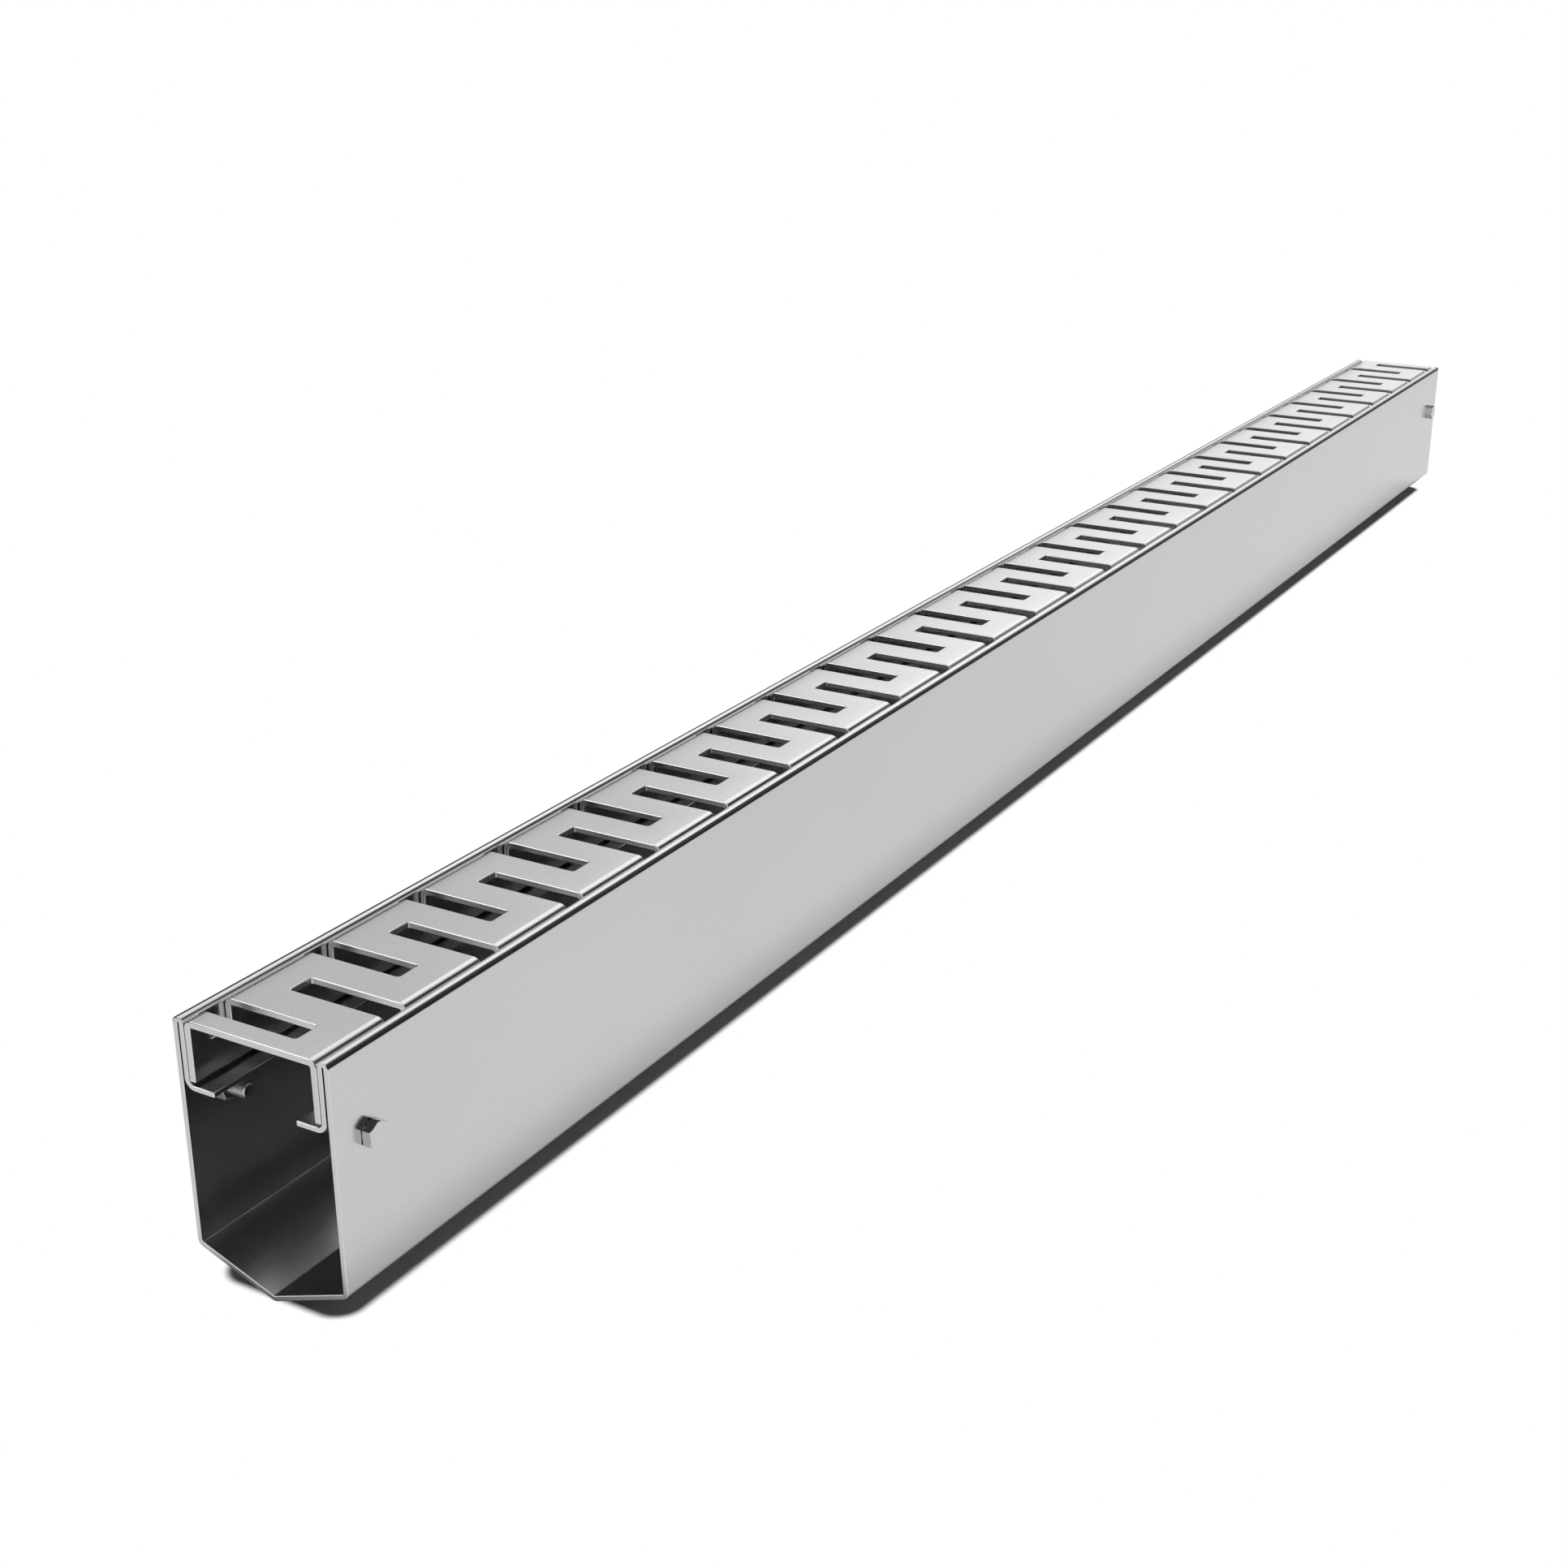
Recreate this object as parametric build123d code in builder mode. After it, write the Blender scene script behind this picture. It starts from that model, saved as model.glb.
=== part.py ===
"""Deck drain: a folded stainless steel channel with a drop-in slotted grate, and hexagon bolts
with nuts through the two side walls at each end.

Millimetres. X runs along the drain, Y across it and Z up. The origin is under the middle of the
length, on the lowest line of the V-shaped bottom.
"""
from build123d import *
from math import isclose, radians, sqrt, tan
import os

# The drain as a whole
LENGTH = 1000.0
WIDTH = 50.0                # over the outer faces of the side walls
HEIGHT = 74.7               # from the lowest line of the bottom to the crest of the hems

# Channel, one folded sheet
SHEET = 1.5
BOTTOM_SLOPE = 20.0         # degrees, each half of the bottom falls to the middle
CORNER_RADIUS = 0.8         # inside radius of the bends in the bottom and at the foot of a wall
HEM_GAP = 0.5               # open gap between a wall and the return folded back inside it
LEDGE_DROP = 18.55          # from the crest of a hem to the top of its ledge
LEDGE_WIDTH = 8.2           # from the return to the free edge of the ledge
LEDGE_RADIUS = 1.7          # inside radius of the bend between return and ledge
LEDGE_EDGE = 0.3            # rounding of the free edge of the ledge

# Grate, one folded sheet that stands in the channel
GRATE_SHEET = 2.0
GRATE_RADIUS = 0.5          # inside radius of its two long bends
GRATE_TOP_DROP = 0.2        # from the crest of the hems down to the top of the grate
LEG_EDGE = 0.4              # rounding of the lower edges of its legs
SIDE_CLEARANCE = 0.2        # between a leg and the return beside it
SEAT_CLEARANCE = 0.15       # between the rounded end of a leg and the bend that carries it

# Slots, cut from the left and the right edge of the grate in turn
SLOT_COUNT = 52
SLOT_WIDTH = 7.9
END_STRIP = 6.3             # solid strip before the first slot and after the last
SLOT_REACH = 9.6            # how far a slot runs past the middle line
SLOT_CORNER = 0.8           # radius in the inner corners of a slot
SLOT_DROP = 8.0             # how far a slot runs down the leg, from the top of the grate

# Bolts and nuts, one pair in each wall at each end
THREAD = 4.0
BOLT_LENGTH = 10.0          # under the head
ACROSS_FLATS = 7.0
HEAD_HEIGHT = 2.8
NUT_HEIGHT = 3.2
FACE_SHARE = 0.95           # round end face of a hexagon, as a share of the width across flats
FACE_SLOPE = 30.0           # degrees, of the cone that takes a hexagon's corners off
BOLT_HOLE = 4.3
THREAD_CLEARANCE = 0.02     # on the radius, between bolt and nut
THREAD_CHAMFER = 0.4
BOLT_INSET = 13.2           # from the end of the channel to the axis of a bolt
BOLT_DROP = 24.95           # from the crest of a hem to the axis of a bolt

# How far each hexagon is turned from standing on a corner, in degrees, as tightened by hand
HEAD_TURN = {"near_right": 0.0, "near_left": 12.0, "far_right": 40.0, "far_left": 25.0}
NUT_TURN = {"near_right": 35.0, "near_left": 18.0, "far_right": 8.0, "far_left": 48.0}

# Places that more than one piece is set against
half_length = LENGTH / 2
half_width = WIDTH / 2
wall_inside = half_width - SHEET
return_inside = wall_inside - HEM_GAP - SHEET
ledge_top = HEIGHT - LEDGE_DROP
bolt_height = HEIGHT - BOLT_DROP
bolt_places = {
    "near_right": (BOLT_INSET - half_length, -1),
    "near_left": (BOLT_INSET - half_length, 1),
    "far_right": (half_length - BOLT_INSET, -1),
    "far_left": (half_length - BOLT_INSET, 1),
}

os.makedirs("parts", exist_ok=True)


def finish(part, name):
    """Labels a piece and writes it out."""
    part.label = name
    export_step(part, f"parts/{name}.step")


# Channel. One face of the sheet is drawn, from the lowest line of the bottom out and up the wall,
# over the hem, down the return and in along the top of the ledge. The sheet lies inside that line.
slope = radians(BOTTOM_SLOPE)
corner_outside = CORNER_RADIUS + SHEET
hem_outside = HEM_GAP / 2 + SHEET
ledge_edge = return_inside - LEDGE_WIDTH

with BuildPart() as channel:
    with BuildSketch(Plane.YZ.offset(-half_length)) as channel_section:
        with BuildLine():
            valley = JernArc((0, 0), (1, 0), corner_outside, BOTTOM_SLOPE)
            run = half_width - corner_outside
            floor = Line(valley @ 1, valley @ 1 + Vector(run, run * tan(slope)))
            foot = JernArc(floor @ 1, floor % 1, corner_outside, 90 - BOTTOM_SLOPE)
            wall = Line(foot @ 1, (half_width, HEIGHT - hem_outside))
            hem = JernArc(wall @ 1, wall % 1, hem_outside, 180)
            fold_back = Line(hem @ 1, (return_inside, ledge_top + LEDGE_RADIUS))
            ledge_bend = JernArc(fold_back @ 1, fold_back % 1, LEDGE_RADIUS, -90)
            Line(ledge_bend @ 1, (ledge_edge, ledge_top))
            mirror(about=Plane.YZ)
            offset(amount=SHEET, side=Side.LEFT, closed=True)
        make_face()
        corners = [v for v in channel_section.vertices() if isclose(abs(v.X), ledge_edge)]
        fillet(corners, LEDGE_EDGE)
    extrude(amount=LENGTH)
    with BuildSketch(Plane.XZ.offset(-half_width)):
        with Locations(*{(x, bolt_height) for x, side in bolt_places.values()}):
            Circle(BOLT_HOLE / 2)
    extrude(amount=WIDTH, mode=Mode.SUBTRACT)

finish(channel.part, "channel")


# Grate. An inverted U whose legs end in the bends above the ledges, so its length of leg follows
# from where the rounded end of a leg meets such a bend.
leg_outside = return_inside - SIDE_CLEARANCE
grate_top = HEIGHT - GRATE_TOP_DROP
bend_reach = LEDGE_RADIUS - LEG_EDGE - SEAT_CLEARANCE
bend_offset = LEDGE_RADIUS - LEG_EDGE - SIDE_CLEARANCE
leg_end = ledge_top + LEDGE_RADIUS - sqrt(bend_reach**2 - bend_offset**2) - LEG_EDGE
slot_pitch = (LENGTH - 2 * END_STRIP - SLOT_WIDTH) / (SLOT_COUNT - 1)
first_slot = END_STRIP + SLOT_WIDTH / 2 - half_length
slot_middles = [first_slot + slot_pitch * count for count in range(SLOT_COUNT)]
left_slots = slot_middles[0::2]
right_slots = slot_middles[1::2]

with BuildPart() as grate:
    with BuildSketch(Plane.YZ.offset(-half_length)) as grate_section:
        with BuildLine():
            FilletPolyline(
                (-leg_outside, leg_end),
                (-leg_outside, grate_top),
                (leg_outside, grate_top),
                (leg_outside, leg_end),
                radius=GRATE_RADIUS + GRATE_SHEET,
            )
            offset(amount=GRATE_SHEET, side=Side.RIGHT, closed=True)
        make_face()
        fillet(grate_section.vertices().group_by(Axis.Y)[0], LEG_EDGE)
    extrude(amount=LENGTH)
    with BuildSketch(Plane.XY.offset(grate_top)):
        with BuildSketch(mode=Mode.PRIVATE) as slot:
            Rectangle(SLOT_WIDTH, SLOT_REACH + leg_outside, align=(Align.CENTER, Align.MIN))
            fillet(slot.vertices().group_by(Axis.Y)[0], SLOT_CORNER)
        with Locations(*[Location((x, -SLOT_REACH)) for x in left_slots]):
            add(slot.sketch)
        with Locations(*[Location((x, SLOT_REACH), 180) for x in right_slots]):
            add(slot.sketch)
    extrude(amount=-GRATE_SHEET, mode=Mode.SUBTRACT)
    for side, middles in ((1, left_slots), (-1, right_slots)):
        with BuildSketch(Plane.XZ.offset(-side * leg_outside)) as notches:
            with Locations(*[(x, grate_top) for x in middles]):
                Rectangle(SLOT_WIDTH, SLOT_DROP, align=(Align.CENTER, Align.MAX))
            fillet(notches.vertices().group_by(Axis.Y)[0], SLOT_CORNER)
        extrude(amount=side * (GRATE_SHEET + GRATE_RADIUS), mode=Mode.SUBTRACT)

finish(grate.part, "grate")


# Bolts and nuts. Each hexagon has its corners taken off by a wide cone round its axis.
face_radius = FACE_SHARE * ACROSS_FLATS / 2
cone_spread = 1 / tan(radians(FACE_SLOPE))
corner_up = 180 / 6


def take_corners_off(plane, height):
    """Rounds the corners of the hexagon that stands on a plane, at its far end."""
    with Locations(plane):
        Cone(
            face_radius + height * cone_spread,
            face_radius,
            height,
            align=(Align.CENTER, Align.CENTER, Align.MIN),
            mode=Mode.INTERSECT,
        )


for place, (x, side) in bolt_places.items():
    outer_face = Plane((x, side * half_width, bolt_height), x_dir=(1, 0, 0), z_dir=(0, side, 0))
    inner_face = Plane((x, side * wall_inside, bolt_height), x_dir=(1, 0, 0), z_dir=(0, -side, 0))

    with BuildPart() as bolt:
        with BuildSketch(outer_face):
            RegularPolygon(ACROSS_FLATS / 2, 6, major_radius=False, rotation=corner_up + HEAD_TURN[place])
        extrude(amount=HEAD_HEIGHT)
        take_corners_off(outer_face, HEAD_HEIGHT)
        with BuildSketch(outer_face):
            Circle(THREAD / 2)
        extrude(amount=-BOLT_LENGTH)
        tip = bolt.faces().sort_by(Axis.Y)[0 if side > 0 else -1]
        chamfer(tip.edges(), THREAD_CHAMFER)
    finish(bolt.part, f"bolt_{place}")

    with BuildPart() as nut:
        with BuildSketch(inner_face):
            RegularPolygon(ACROSS_FLATS / 2, 6, major_radius=False, rotation=corner_up + NUT_TURN[place])
        extrude(amount=NUT_HEIGHT)
        take_corners_off(inner_face, NUT_HEIGHT)
        with BuildSketch(inner_face):
            Circle(THREAD / 2 + THREAD_CLEARANCE)
        extrude(amount=NUT_HEIGHT, mode=Mode.SUBTRACT)
    finish(nut.part, f"nut_{place}")
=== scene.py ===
from math import cos, radians, tan, tau

import bpy
from mathutils import Matrix, Vector


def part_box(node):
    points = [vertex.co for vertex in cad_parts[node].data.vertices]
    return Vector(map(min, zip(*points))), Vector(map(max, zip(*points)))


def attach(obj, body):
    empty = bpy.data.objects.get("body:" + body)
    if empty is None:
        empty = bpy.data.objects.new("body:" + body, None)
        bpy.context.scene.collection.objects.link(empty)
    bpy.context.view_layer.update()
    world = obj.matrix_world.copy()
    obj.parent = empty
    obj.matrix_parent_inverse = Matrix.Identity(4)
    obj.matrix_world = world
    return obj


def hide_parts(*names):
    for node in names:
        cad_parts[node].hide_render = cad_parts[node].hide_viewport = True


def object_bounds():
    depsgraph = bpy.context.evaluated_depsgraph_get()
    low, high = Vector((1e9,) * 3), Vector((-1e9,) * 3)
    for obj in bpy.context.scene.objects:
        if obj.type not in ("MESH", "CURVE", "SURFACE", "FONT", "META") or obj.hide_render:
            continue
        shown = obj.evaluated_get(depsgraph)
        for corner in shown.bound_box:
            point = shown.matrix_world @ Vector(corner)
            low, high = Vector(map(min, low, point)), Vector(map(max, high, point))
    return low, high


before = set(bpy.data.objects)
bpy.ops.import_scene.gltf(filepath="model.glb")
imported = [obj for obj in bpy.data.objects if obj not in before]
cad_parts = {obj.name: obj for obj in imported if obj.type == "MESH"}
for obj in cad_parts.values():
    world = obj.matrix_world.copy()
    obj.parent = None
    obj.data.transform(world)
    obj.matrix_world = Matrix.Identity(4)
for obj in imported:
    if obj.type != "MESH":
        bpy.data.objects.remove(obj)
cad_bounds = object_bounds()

MM = 0.001


# The camera stands to the right of the near end, a little over the drain, and looks along it.
# Its place, turn and lens were worked out from the slots and sheet edges of the real one.
CAMERA_PLACE = Vector((-0.8372, -0.34615, 0.32379))
CAMERA_TURN = (radians(68.4995), radians(0.1247), radians(-59.8098))
LENS = 50.06
SENSOR = 36.0
CLIP_START = 0.01

camera_data = bpy.data.cameras.new("camera")
camera_data.lens = LENS
camera_data.sensor_width = SENSOR
camera_data.clip_start = CLIP_START
camera = bpy.data.objects.new("camera", camera_data)
camera.location = CAMERA_PLACE
camera.rotation_euler = CAMERA_TURN
bpy.context.scene.collection.objects.link(camera)
bpy.context.scene.camera = camera
bpy.context.scene.view_settings.view_transform = "Standard"


# The channel is one length of 1.5 mm stainless sheet, cut to size and folded along its length:
# V bottom, walls, hems, returns and ledges. Its skin is the rolling mill's dull satin, its ends
# are cut square, and every cut edge has been rubbed round so that it doesn't cut the hand.
CHANNEL_EDGE = 0.28 * MM
SHARP_EDGE = radians(30)
EDGE_STEPS = 3
SAME_PLACE = 0.001 * MM
SAME_PLANE = radians(0.4)
END_FACING = 0.9
SHEET_TONE = (0.682, 0.679, 0.672, 1.0)
SHEET_SHADE = (0.602, 0.600, 0.595, 1.0)
SHEET_ROUGHNESS = 0.21
CLOUD_SCALE = 14.0
ROLLED_SCALE = (25.0, 2600.0, 2600.0)
FROST_SCALE = 2800.0
ROLLED_DEPTH = 0.9e-6
FROST_DEPTH = 2.2e-6
# Rubbed edges are coloured lighter than the skin, partly as a painted highlight along them.
EDGE_SHEEN_TONE = (0.700, 0.697, 0.690, 1.0)
EDGE_SHEEN_SHADE = (0.640, 0.637, 0.630, 1.0)
EDGE_ROUGHNESS = 0.12
NICK_SCALE = 900.0
NICK_DEPTH = 1.5e-6
HANDLED_SCALE = 60.0
CUT_TONE = (0.690, 0.686, 0.677, 1.0)
CUT_SHADE = (0.625, 0.621, 0.612, 1.0)
CUT_ROUGHNESS = 0.30
CUT_DEPTH = 3.0e-6
CUT_ACROSS_WALL = (3000.0, 300.0, 3000.0)
STAIN_SCALE = 120.0


class Value:
    """One value in a material's nodes, with ordinary arithmetic on it."""

    def __init__(self, tree, socket):
        self.tree = tree
        self.socket = socket

    def node(self, kind, settings, inputs, output=0):
        """Adds a node with its settings and inputs and gives the value of one output."""
        made = self.tree.nodes.new(kind)
        for name, setting in settings.items():
            setattr(made, name, setting)
        for name, given in inputs.items():
            if isinstance(given, Value):
                self.tree.links.new(given.socket, made.inputs[name])
            else:
                made.inputs[name].default_value = given
        return Value(self.tree, made.outputs[output])

    def maths(self, operation, first, second):
        return self.node("ShaderNodeMath", {"operation": operation}, {0: first, 1: second})

    def maths_of(self, operation, second=0.0):
        return self.maths(operation, self, second)

    def __add__(self, other):
        return self.maths("ADD", self, other)

    def __sub__(self, other):
        return self.maths("SUBTRACT", self, other)

    def __rsub__(self, other):
        return self.maths("SUBTRACT", other, self)

    def __mul__(self, other):
        return self.maths("MULTIPLY", self, other)

    __radd__ = __add__
    __rmul__ = __mul__

    def noise(self, scale, stretch=(1.0, 1.0, 1.0), detail=2.0):
        """Noise on a place, the place stretched first."""
        settled = self.node("ShaderNodeMapping", {}, {"Vector": self, "Scale": stretch})
        chosen = {"Vector": settled, "Scale": scale, "Detail": detail}
        return self.node("ShaderNodeTexNoise", {}, chosen)

    def between(self, low, high):
        """Runs smoothly from 0 at a low value to 1 at a high one."""
        limits = {"Value": self, "From Min": low, "From Max": high}
        return self.node("ShaderNodeMapRange", {"interpolation_type": "SMOOTHSTEP"}, limits)

    def colour(self, first, second):
        """Mixes two colours by this value."""
        return self.node("ShaderNodeMix", {"data_type": "RGBA"}, {0: self, 6: first, 7: second}, 2)


def new_metal(name):
    """A bare metal material, its shader and the place of each point on the piece."""
    material = bpy.data.materials.new(name)
    material.use_nodes = True
    tree = material.node_tree
    shader = tree.nodes["Principled BSDF"]
    shader.inputs["Metallic"].default_value = 1.0
    place = Value(tree, tree.nodes.new("ShaderNodeTexCoord").outputs["Object"])
    return material, shader, place


def dress(shader, colour, roughness, height):
    """Feeds a metal's colour, roughness and relief to its shader."""
    tree = colour.tree
    relief = height.node("ShaderNodeBump", {}, {"Distance": 1.0, "Height": height})
    tree.links.new(colour.socket, shader.inputs["Base Color"])
    tree.links.new(roughness.socket, shader.inputs["Roughness"])
    tree.links.new(relief.socket, shader.inputs["Normal"])


def satin_skin(name):
    """Rolled satin: faint lines along the length, a fine frost and broad soft clouds."""
    material, shader, place = new_metal(name)
    clouds = place.noise(CLOUD_SCALE, detail=4.0)
    rolled = place.noise(1.0, ROLLED_SCALE, 3.0)
    frost = place.noise(FROST_SCALE)
    broad = clouds.between(0.35, 0.65) * 0.25 + rolled.between(0.3, 0.7) * 0.1
    tone = broad + frost.between(0.3, 0.7) * 0.65
    roughness = SHEET_ROUGHNESS + (clouds - 0.5) * 0.10 + (rolled - 0.5) * 0.08
    height = rolled * ROLLED_DEPTH + frost * FROST_DEPTH
    dress(shader, tone.colour(SHEET_SHADE, SHEET_TONE), roughness, height)
    return material


def rubbed_edge_and_sheen(name):
    """Rubbed edge with small nicks, smoother than the skin, brighter partly as a painted highlight.
    """
    material, shader, place = new_metal(name)
    nicks = place.noise(NICK_SCALE, detail=3.0)
    handled = place.noise(HANDLED_SCALE)
    roughness = EDGE_ROUGHNESS + (nicks - 0.5) * 0.12 + (handled - 0.5) * 0.08
    # Painted highlight in part: these edge colours are lighter than the skin's.
    colour = nicks.between(0.3, 0.6).colour(EDGE_SHEEN_SHADE, EDGE_SHEEN_TONE)
    dress(shader, colour, roughness, nicks * NICK_DEPTH)
    return material


def cut_face(name, stretch):
    """A cut face: fine lines through the thickness of the sheet, a little duller than the skin."""
    material, shader, place = new_metal(name)
    lines = place.noise(1.0, stretch, 3.0)
    stain = place.noise(STAIN_SCALE, detail=3.0)
    roughness = CUT_ROUGHNESS + (lines - 0.5) * 0.14
    tone = lines.between(0.25, 0.75) * 0.6 + stain.between(0.3, 0.7) * 0.4
    dress(shader, tone.colour(CUT_SHADE, CUT_TONE), roughness, lines * CUT_DEPTH)
    return material


def pick(piece):
    """Makes a piece the only one that is selected and worked on."""
    bpy.ops.object.select_all(action="DESELECT")
    piece.select_set(True)
    bpy.context.view_layer.objects.active = piece


def solid_copy(node, name):
    """A closed copy of a solid, its flat faces in one piece again."""
    piece = bpy.data.objects.new(name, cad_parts[node].data.copy())
    piece.data.materials.clear()
    bpy.context.scene.collection.objects.link(piece)
    pick(piece)
    bpy.ops.mesh.customdata_custom_splitnormals_clear()
    bpy.ops.object.mode_set(mode="EDIT")
    bpy.ops.mesh.select_all(action="SELECT")
    bpy.ops.mesh.remove_doubles(threshold=SAME_PLACE)
    bpy.ops.mesh.dissolve_limited(angle_limit=SAME_PLANE)
    bpy.ops.object.mode_set(mode="OBJECT")
    return piece


def apply_modifier(piece, kind, **settings):
    """Adds one modifier to a piece and applies it."""
    pick(piece)
    modifier = piece.modifiers.new(kind, kind)
    for name, setting in settings.items():
        setattr(modifier, name, setting)
    bpy.ops.object.modifier_apply(modifier=modifier.name)


def round_edges(piece, radius, angle=SHARP_EDGE, material=-1):
    """Rounds every edge of a piece that is sharper than an angle."""
    apply_modifier(
        piece, "BEVEL", width=radius, segments=EDGE_STEPS, limit_method="ANGLE",
        angle_limit=angle, use_clamp_overlap=False, harden_normals=True, material=material,
    )


def smooth(piece, angle=SHARP_EDGE):
    """Shades a piece smooth apart from its sharp edges."""
    pick(piece)
    bpy.ops.object.shade_smooth_by_angle(angle=angle)


satin = satin_skin("satin_skin")
rubbed_and_sheen = rubbed_edge_and_sheen("rubbed_edge_and_sheen")

channel = solid_copy("channel", "channel_sheet")
for finish in (satin, rubbed_and_sheen, cut_face("channel_cut_face", CUT_ACROSS_WALL)):
    channel.data.materials.append(finish)
for face in channel.data.polygons:
    face.material_index = 2 if abs(face.normal.x) > END_FACING else 0
smooth(channel)
# The rounded edges take the lighter rubbed colour, partly a painted highlight.
round_edges(channel, CHANNEL_EDGE, material=1)
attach(channel, "root")
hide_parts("channel")


# The grate is one strip of 2 mm stainless sheet. The slots are cut in the flat from either edge in
# turn, then the strip is folded to an inverted U that drops into the channel and stands loose in
# the bends of its ledges. Its edges are tumbled, so they are rounder than the channel's.
GRATE_EDGE = 0.38 * MM
PLATE_REACH = 15.0 * MM
SLOT_FACING = 0.3
CUT_DOWN_SLOT = (3000.0, 3000.0, 300.0)

grate = solid_copy("grate", "grate_sheet")
for finish in (satin, rubbed_and_sheen, cut_face("slot_cut_face", CUT_DOWN_SLOT)):
    grate.data.materials.append(finish)
for face in grate.data.polygons:
    slot_end = abs(face.normal.y) > SLOT_FACING and abs(face.center.y) < PLATE_REACH
    face.material_index = 2 if abs(face.normal.x) > SLOT_FACING or slot_end else 0
smooth(grate)
# The rounded edges take the lighter rubbed colour, partly a painted highlight.
round_edges(grate, GRATE_EDGE, material=1)
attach(grate, "root")
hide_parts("grate")


# The bolts are M4 stainless hexagon bolts, put through the walls from outside and held by plain
# nuts inside. Heads and nuts are cold pressed, with their corners taken off. Each head stands on
# a thin washer face of its own, and the threads are rolled right up to it.
THREAD_RADIUS = 2.0 * MM
THREAD_ROOT = 1.57 * MM
THREAD_PITCH = 0.7 * MM
ROOT_FLAT = THREAD_PITCH / 4
CREST_FLAT = THREAD_PITCH / 8
THREAD_STEPS = 40
SPARE_TURNS = 4
TIP_CHAMFER = 0.45 * MM
BLANK_SHARE = 1.01
ROUND_SIDES = 96
CUT_REACH = 0.0001 * MM
HEAD_FACE = 3.65 * MM
HEAD_SLOPE = radians(48)
HEAD_EDGE = 0.12 * MM
HEAD_STEPS = 4
HEAD_SPARE = 1.2
FOOT_REACH = 0.01 * MM
WASHER_FACE = 0.25 * MM
WASHER_RADIUS = 3.25 * MM
NUT_EDGE = 0.12 * MM
NUT_SHARP = radians(20)
FASTENER_TONE = (0.655, 0.652, 0.645, 1.0)
FASTENER_SHADE = (0.620, 0.617, 0.610, 1.0)
FASTENER_ROUGHNESS = 0.19
DENT_SCALE = 700.0
DENT_DEPTH = 0.6e-6
TUMBLED_SCALE = 4200.0
TUMBLED_DEPTH = 0.5e-6


def pressed_steel(name):
    """Pressed and tumbled steel: small soft dents, darker in the hollows."""
    material, shader, place = new_metal(name)
    dents = place.noise(DENT_SCALE, detail=3.0)
    tumbled = place.noise(TUMBLED_SCALE)
    roughness = FASTENER_ROUGHNESS + (dents - 0.5) * 0.10
    colour = dents.between(0.3, 0.7).colour(FASTENER_SHADE, FASTENER_TONE)
    dress(shader, colour, roughness, dents * DENT_DEPTH + tumbled * TUMBLED_DEPTH)
    return material


def add_mesh(name, corners, edges):
    """A new piece from a few corners and the edges between them."""
    mesh = bpy.data.meshes.new(name)
    mesh.from_pydata(corners, edges, [])
    piece = bpy.data.objects.new(name, mesh)
    bpy.context.scene.collection.objects.link(piece)
    pick(piece)
    return piece


def thread_rod(length):
    """A threaded rod that stands on the origin, its upper end chamfered."""
    rise = (THREAD_PITCH - ROOT_FLAT - CREST_FLAT) / 2
    heights = (0.0, ROOT_FLAT, ROOT_FLAT + rise, ROOT_FLAT + rise + CREST_FLAT, THREAD_PITCH)
    radii = (THREAD_ROOT, THREAD_ROOT, THREAD_RADIUS, THREAD_RADIUS, THREAD_ROOT)
    corners = [(r, 0.0, z - 2 * THREAD_PITCH) for r, z in zip(radii, heights)]
    rod = add_mesh("thread_rod", corners, [(step, step + 1) for step in range(4)])
    apply_modifier(
        rod, "SCREW", axis="Z", angle=tau, screw_offset=THREAD_PITCH, steps=THREAD_STEPS,
        render_steps=THREAD_STEPS, iterations=round(length / THREAD_PITCH) + SPARE_TURNS,
        use_merge_vertices=True, merge_threshold=SAME_PLACE,
    )
    bpy.ops.object.mode_set(mode="EDIT")
    for height, above in ((0.0, False), (length, True)):
        bpy.ops.mesh.select_all(action="SELECT")
        bpy.ops.mesh.bisect(
            plane_co=(0, 0, height), plane_no=(0, 0, 1), use_fill=True,
            clear_inner=not above, clear_outer=above, threshold=CUT_REACH,
        )
    bpy.ops.mesh.select_all(action="SELECT")
    bpy.ops.mesh.remove_doubles(threshold=SAME_PLACE)
    bpy.ops.mesh.normals_make_consistent(inside=False)
    bpy.ops.object.mode_set(mode="OBJECT")

    bpy.ops.object.select_all(action="DESELECT")
    bpy.ops.mesh.primitive_cylinder_add(
        vertices=ROUND_SIDES, radius=THREAD_RADIUS * BLANK_SHARE, depth=2 * length,
        location=(0, 0, 0),
    )
    blank = bpy.context.active_object
    bpy.ops.object.transform_apply(location=True, rotation=True, scale=True)
    bpy.ops.object.mode_set(mode="EDIT")
    bpy.ops.mesh.select_all(action="DESELECT")
    bpy.ops.object.mode_set(mode="OBJECT")
    for edge in blank.data.edges:
        ends = [blank.data.vertices[corner].co.z for corner in edge.vertices]
        edge.select = min(ends) > length * 0.99
    bpy.ops.object.mode_set(mode="EDIT")
    bpy.ops.mesh.select_mode(type="EDGE")
    bpy.ops.mesh.bevel(offset=TIP_CHAMFER, segments=1)
    bpy.ops.object.mode_set(mode="OBJECT")
    apply_modifier(rod, "BOOLEAN", operation="INTERSECT", solver="EXACT", object=blank)
    bpy.data.objects.remove(blank)
    return rod


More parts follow.
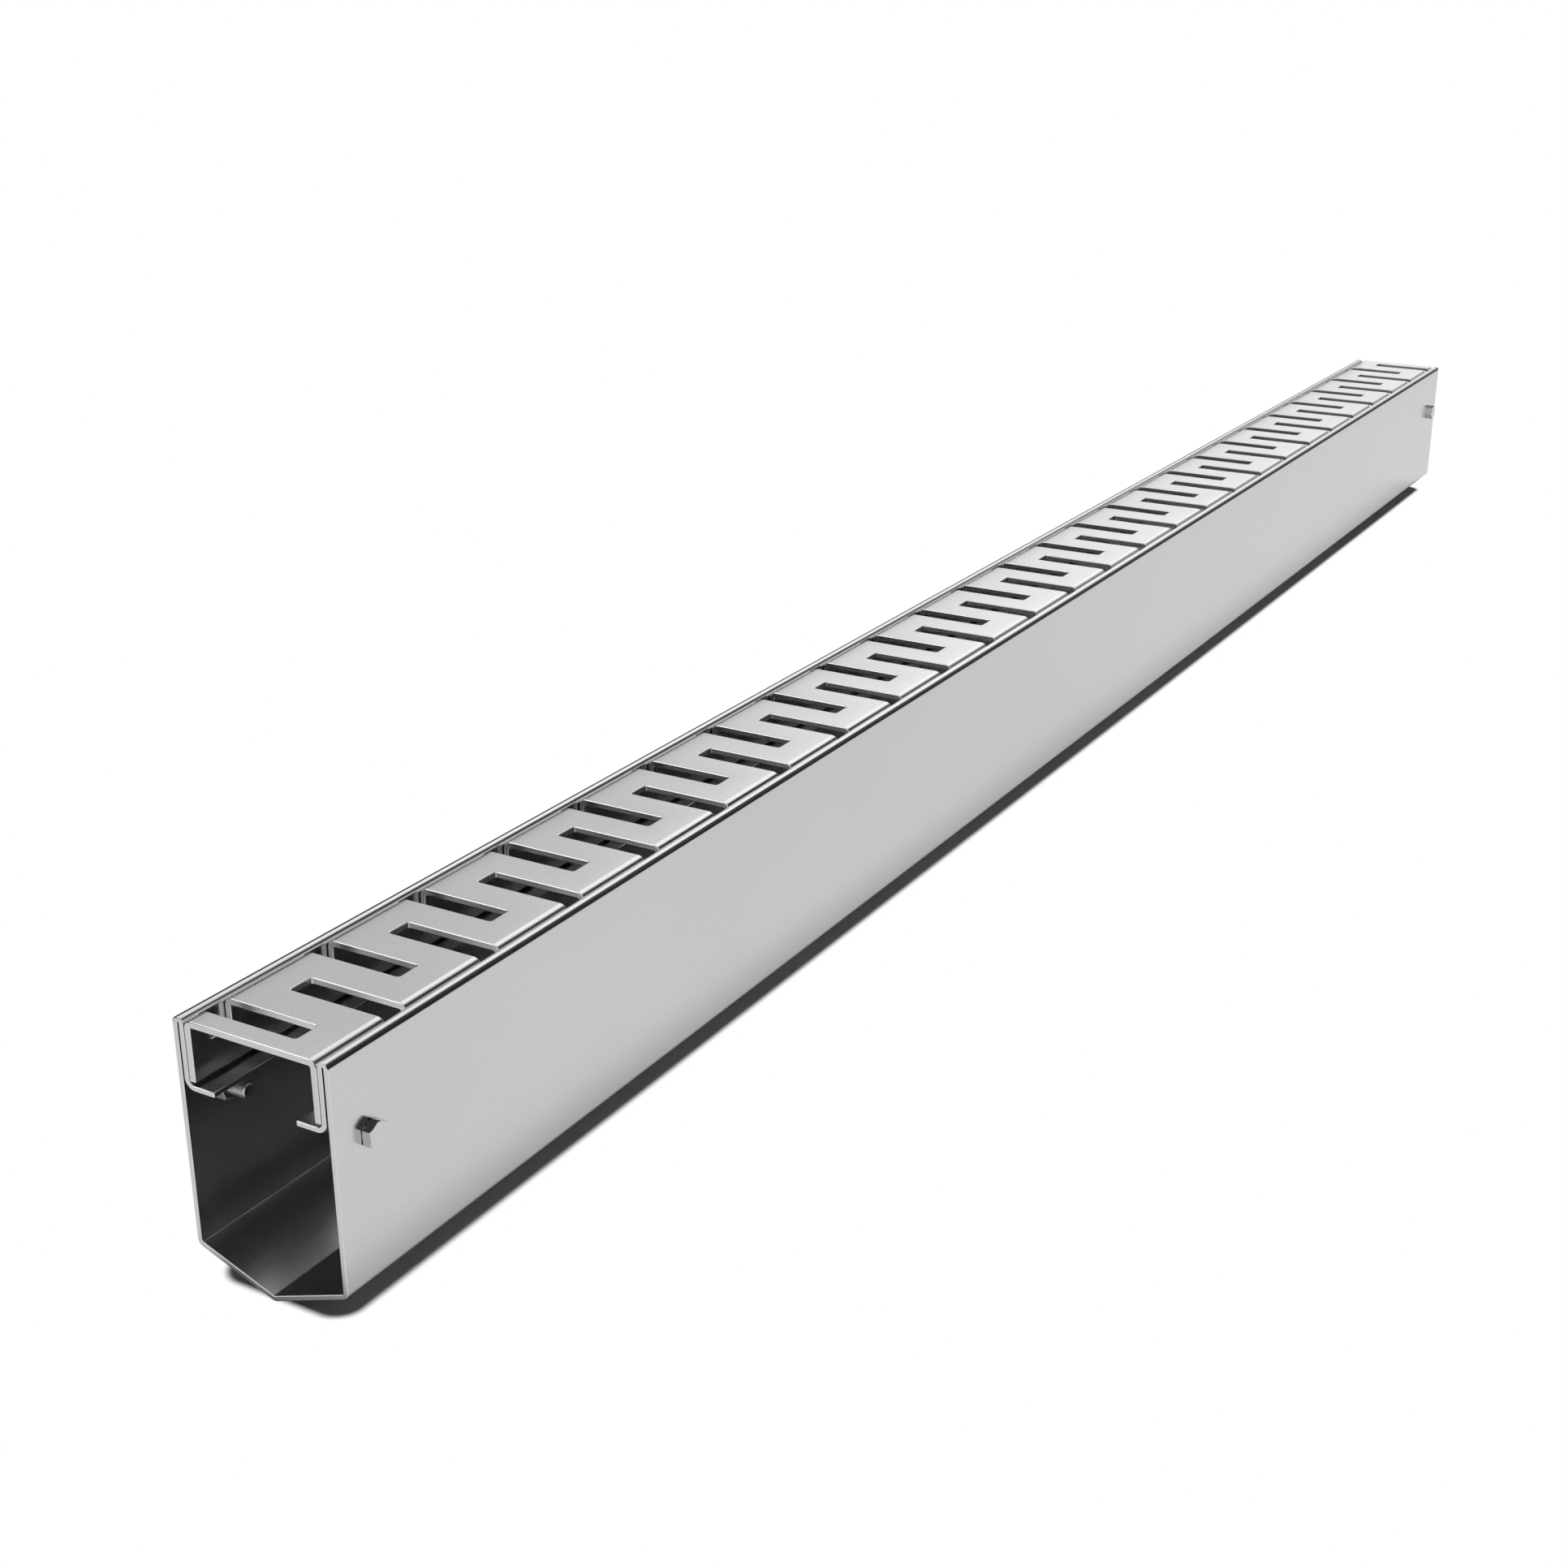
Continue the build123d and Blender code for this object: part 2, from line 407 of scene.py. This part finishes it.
def press_head(head, middle, outward):
    """Draws a head out from the six corners of its foot, turns it and sets its washer face on."""
    foot = outward * wall_face
    bpy.ops.object.mode_set(mode="EDIT")
    bpy.ops.mesh.select_mode(type="VERT")
    bpy.ops.mesh.select_all(action="DESELECT")
    bpy.ops.object.mode_set(mode="OBJECT")
    for corner in head.data.vertices:
        reach = Vector((corner.co.x - middle.x, corner.co.z - middle.z)).length
        corner.select = abs(corner.co.y - foot) > FOOT_REACH or reach < HEAD_FACE
    bpy.ops.object.mode_set(mode="EDIT")
    bpy.ops.mesh.delete(type="VERT")
    bpy.ops.mesh.select_all(action="SELECT")
    bpy.ops.mesh.edge_face_add()
    bpy.ops.mesh.extrude_region_move(
        TRANSFORM_OT_translate={"value": (0, outward * HEAD_SPARE * head_height, 0)}
    )
    bpy.ops.mesh.select_all(action="SELECT")
    bpy.ops.mesh.normals_make_consistent(inside=False)
    bpy.ops.mesh.select_mode(type="EDGE")
    bpy.ops.mesh.select_all(action="DESELECT")
    bpy.ops.object.mode_set(mode="OBJECT")
    for edge in head.data.edges:
        ends = [head.data.vertices[corner].co.y for corner in edge.vertices]
        edge.select = abs(ends[0] - ends[1]) > head_height
    bpy.ops.object.mode_set(mode="EDIT")
    bpy.ops.mesh.bevel(offset=HEAD_EDGE, segments=HEAD_STEPS)
    bpy.ops.object.mode_set(mode="OBJECT")

    pressed = head_height - WASHER_FACE
    for operation, start, depth, radius, face in (
        ("INTERSECT", WASHER_FACE, pressed, HEAD_FACE + pressed / tan(HEAD_SLOPE), HEAD_FACE),
        ("UNION", 0.0, head_height / 2, WASHER_RADIUS, WASHER_RADIUS),
    ):
        bpy.ops.object.select_all(action="DESELECT")
        bpy.ops.mesh.primitive_cone_add(
            vertices=ROUND_SIDES, radius1=radius, radius2=face, depth=depth,
            location=(middle.x, foot + outward * (start + depth / 2), middle.z),
            rotation=(radians(-90) * outward, 0, 0),
        )
        tool = bpy.context.active_object
        bpy.ops.object.transform_apply(location=True, rotation=True, scale=True)
        apply_modifier(head, "BOOLEAN", operation=operation, solver="EXACT", object=tool)
        bpy.data.objects.remove(tool)


steel = pressed_steel("pressed_steel")
wall_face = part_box("channel")[1][1]
head_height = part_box("bolt_near_left")[1][1] - wall_face
bolt_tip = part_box("bolt_near_left")[0][1]
rod = thread_rod(wall_face - bolt_tip)

for along in ("near", "far"):
    for side, outward in (("right", -1), ("left", 1)):
        node = f"bolt_{along}_{side}"
        low, high = (Vector(corner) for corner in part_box(node))
        middle = (low + high) / 2
        head = solid_copy(node, f"bolt_{along}_{side}_threaded")
        press_head(head, middle, outward)
        smooth(head)

        shank = bpy.data.objects.new("shank", rod.data.copy())
        bpy.context.scene.collection.objects.link(shank)
        turn = Matrix.Rotation(radians(90) * outward, 4, "X")
        foot = Matrix.Translation((middle.x, outward * wall_face, middle.z))
        shank.data.transform(foot @ turn)
        smooth(shank)
        bpy.ops.object.select_all(action="DESELECT")
        shank.select_set(True)
        head.select_set(True)
        bpy.context.view_layer.objects.active = head
        bpy.ops.object.join()
        head.data.materials.clear()
        head.data.materials.append(steel)
        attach(head, "root")
        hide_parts(node)

        nut = solid_copy(f"nut_{along}_{side}", f"nut_{along}_{side}_pressed")
        smooth(nut)
        round_edges(nut, NUT_EDGE, NUT_SHARP)
        nut.data.materials.append(steel)
        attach(nut, "root")
        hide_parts(f"nut_{along}_{side}")
bpy.data.objects.remove(rod)


# The floor is a pale sheet of studio paper. Under the drain it shows the drain's shadow, but the
# shadow's edge is painted: past a rounded oblong round the drain the paper glows plain white to the
# eye. Seen in the steel, that painted edge lies further out and fades more slowly, and the paper's
# glow is turned down a little, with painted shade that darkens it further off to either side.
FLOOR_SIZE = 60.0
FLOOR_TONE = (0.85, 0.85, 0.85, 1.0)
FLOOR_ROUGHNESS = 0.9
# Where the painted edge of the shadow lies, how round its corners are and how softly it fades.
SHADOW_INSET = (1.0 * MM, 3.2 * MM)
SHADOW_CORNER = 8 * MM
SHADOW_FADE = 3 * MM
MIRRORED_FADE = 30 * MM
LIT_REACH = (0.20, 0.40)
LIT_LOSS = 0.60
SEEN_LOSS = 0.12

bpy.ops.object.select_all(action="DESELECT")
bpy.ops.mesh.primitive_plane_add(size=FLOOR_SIZE, location=(0, 0, cad_bounds[0][2]))
floor = bpy.context.active_object
floor.name = "floor"
bpy.ops.object.transform_apply(location=True, rotation=True, scale=True)
paper = bpy.data.materials.new("floor_paper")
paper.use_nodes = True
tree = paper.node_tree
matt = tree.nodes["Principled BSDF"]
matt.inputs["Base Color"].default_value = FLOOR_TONE
matt.inputs["Roughness"].default_value = FLOOR_ROUGHNESS
matt.inputs["Specular IOR Level"].default_value = 0.0
spot = Value(tree, tree.nodes.new("ShaderNodeTexCoord").outputs["Object"])
far_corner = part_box("channel")[1]
shadow_end = far_corner[0] - SHADOW_INSET[0] - SHADOW_CORNER
shadow_side = far_corner[1] - SHADOW_INSET[1] - SHADOW_CORNER
along = spot.node("ShaderNodeSeparateXYZ", {}, {0: spot}, 0).maths_of("ABSOLUTE")
across = spot.node("ShaderNodeSeparateXYZ", {}, {0: spot}, 1).maths_of("ABSOLUTE")
past_end = (along - shadow_end).maths_of("MAXIMUM", 0.0)
past_side = (across - shadow_side).maths_of("MAXIMUM", 0.0)
distance = (past_end * past_end + past_side * past_side).maths_of("SQRT") - SHADOW_CORNER


def ray_kinds(tree):
    """Tells rays seen straight, rays seen in the steel and rays that light the floor apart."""
    rays = tree.nodes.new("ShaderNodeLightPath")
    straight = Value(tree, rays.outputs["Is Camera Ray"])
    glossy = Value(tree, rays.outputs["Is Glossy Ray"])
    in_steel = glossy + Value(tree, rays.outputs["Is Transmission Ray"])
    from_floor = Value(tree, rays.outputs["Diffuse Depth"]).maths_of("MINIMUM", 1.0)
    return straight, in_steel * (1.0 - from_floor)


straight, mirrored = ray_kinds(tree)
# Painted shadow edge: outside it the paper shows plain white, whatever light falls there.
shadow_gone = distance.between(-SHADOW_FADE / 2, SHADOW_FADE / 2)
whiteness = straight * shadow_gone + mirrored * distance.between(0.0, MIRRORED_FADE)
# Painted shade: the paper seen in the steel is turned down, and more so further off to either side.
brightness = 1.0 - mirrored * (SEEN_LOSS + past_side.between(*LIT_REACH) * LIT_LOSS)
white = spot.node("ShaderNodeEmission", {}, {"Color": (1.0, 1.0, 1.0, 1.0), "Strength": brightness})
lit = Value(tree, matt.outputs[0])
blend = spot.node("ShaderNodeMixShader", {}, {0: whiteness, 1: lit, 2: white})
tree.links.new(blend.socket, tree.nodes["Material Output"].inputs["Surface"])
floor.data.materials.append(paper)


# The light is plain and soft. The room is white, with soft round lamps and dark cloths hung round
# it, and a narrow strip of black card hangs along each rim, which only the steel shows, so that
# its bends stand out. A small light overhead gives the floor its shadow.
ROOM_FILL = 0.05
ROOM_WALLS = 0.87
DARKEST = 0.03
HANGINGS = {
    "lamp along the drain": ((0.80, 0.17, 0.575), radians(22), radians(12), 0.55),
    "lamp past the far end": ((0.93, 0.31, 0.21), radians(17), radians(8), 0.16),
    "lamp on the left": ((0.40, 0.56, 0.72), radians(14), radians(8), 0.50),
    "lamp over the near end": ((-0.50, 0.56, 0.66), radians(15), radians(9), 2.60),
    "cloth over the left": ((-0.07, 0.62, 0.78), radians(17), radians(9), -0.80),
    "cloth over the right": ((-0.08, -0.58, 0.81), radians(27), radians(17), -0.85),
    "cloth beside the near end": ((0.69, -0.48, 0.54), radians(20), radians(12), -0.85),
    "cloth beside the far end": ((0.88, -0.34, 0.33), radians(23), radians(12), -0.40),
    "cloth on the left": ((0.66, 0.74, 0.06), radians(15), radians(6), -0.75),
    "grey cloth on the left": ((0.58, 0.66, 0.48), radians(20), radians(6), -0.14),
}
STRIP_LENGTH = 1050 * MM
STRIP_HEIGHT = 8.6 * MM
STRIP_OUT = 29 * MM
STRIP_UP = 75.5 * MM
CARD_TONE = (0.02, 0.02, 0.02, 1.0)
SOFTBOX_SIZE = (0.6, 0.25)
SOFTBOX_HEIGHT = 1.6
SOFTBOX_POWER = 12.0

world = bpy.data.worlds.new("room")
bpy.context.scene.world = world
world.use_nodes = True
tree = world.node_tree
background = tree.nodes["Background"]
background.inputs["Color"].default_value = (1.0, 1.0, 1.0, 1.0)
way = Value(tree, tree.nodes.new("ShaderNodeTexCoord").outputs["Generated"])
room_light = ROOM_WALLS
for middle, edge, core, gain in HANGINGS.values():
    nearness = way.node("ShaderNodeVectorMath", {"operation": "DOT_PRODUCT"}, {0: way, 1: middle}, 1)
    room_light = room_light + nearness.between(cos(edge), cos(core)) * gain
room_light = room_light.maths_of("MAXIMUM", DARKEST)
straight, mirrored = ray_kinds(tree)
strength = straight + mirrored * room_light + (1.0 - straight - mirrored) * ROOM_FILL
tree.links.new(strength.socket, background.inputs["Strength"])

softbox_data = bpy.data.lights.new("softbox", "AREA")
softbox_data.shape = "RECTANGLE"
softbox_data.size, softbox_data.size_y = SOFTBOX_SIZE
softbox_data.energy = SOFTBOX_POWER
softbox = bpy.data.objects.new("softbox", softbox_data)
softbox.location = (0.0, 0.0, SOFTBOX_HEIGHT)
softbox.visible_camera = False
softbox.visible_glossy = False
bpy.context.scene.collection.objects.link(softbox)

black_card = bpy.data.materials.new("black_card")
black_card.use_nodes = True
card_shader = black_card.node_tree.nodes["Principled BSDF"]
card_shader.inputs["Base Color"].default_value = CARD_TONE
for side, outward in (("right", -1), ("left", 1)):
    bpy.ops.object.select_all(action="DESELECT")
    bpy.ops.mesh.primitive_plane_add(
        size=1.0, location=(0.0, outward * STRIP_OUT, STRIP_UP), rotation=(radians(90), 0.0, 0.0)
    )
    strip = bpy.context.active_object
    strip.name = f"black_strip_{side}"
    strip.scale = (STRIP_LENGTH, STRIP_HEIGHT, 1.0)
    bpy.ops.object.transform_apply(location=True, rotation=True, scale=True)
    strip.data.materials.append(black_card)
    strip.visible_camera = False
    strip.visible_diffuse = False
    strip.visible_shadow = False
